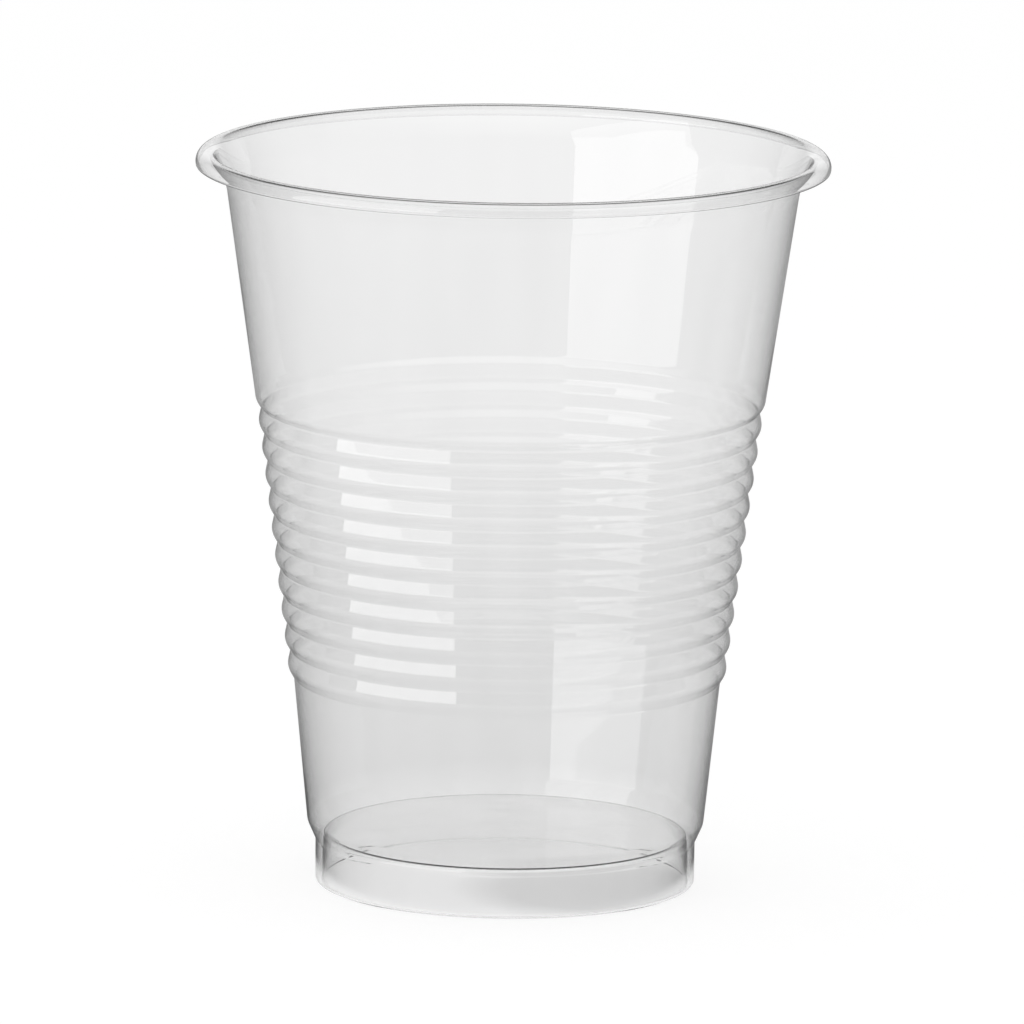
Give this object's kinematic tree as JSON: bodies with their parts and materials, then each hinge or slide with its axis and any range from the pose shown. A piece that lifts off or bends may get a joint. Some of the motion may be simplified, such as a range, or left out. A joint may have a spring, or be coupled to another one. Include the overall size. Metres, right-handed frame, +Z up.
{
  "type": "plastic disposable cup",
  "caption": "Clear thin-walled disposable drinking cup, tapered, with a rolled rim, a band of fine stepped ribs round its middle and a narrow folded foot.",
  "frame": {"origin": "middle of the ring that the cup stands on, at table level", "axes": "+Z up along the cup's axis towards its mouth; X and Y are any two directions across it, because the cup is round"},
  "size_m": [0.07, 0.07, 0.0818],
  "materials": {
    "clear_plastic": "clear colourless thermoformed sheet, glossy, slightly hazy, with faint draw lines"
  },
  "bodies": {
    "root": {"cup": "clear_plastic"}
  },
  "joints": []
}
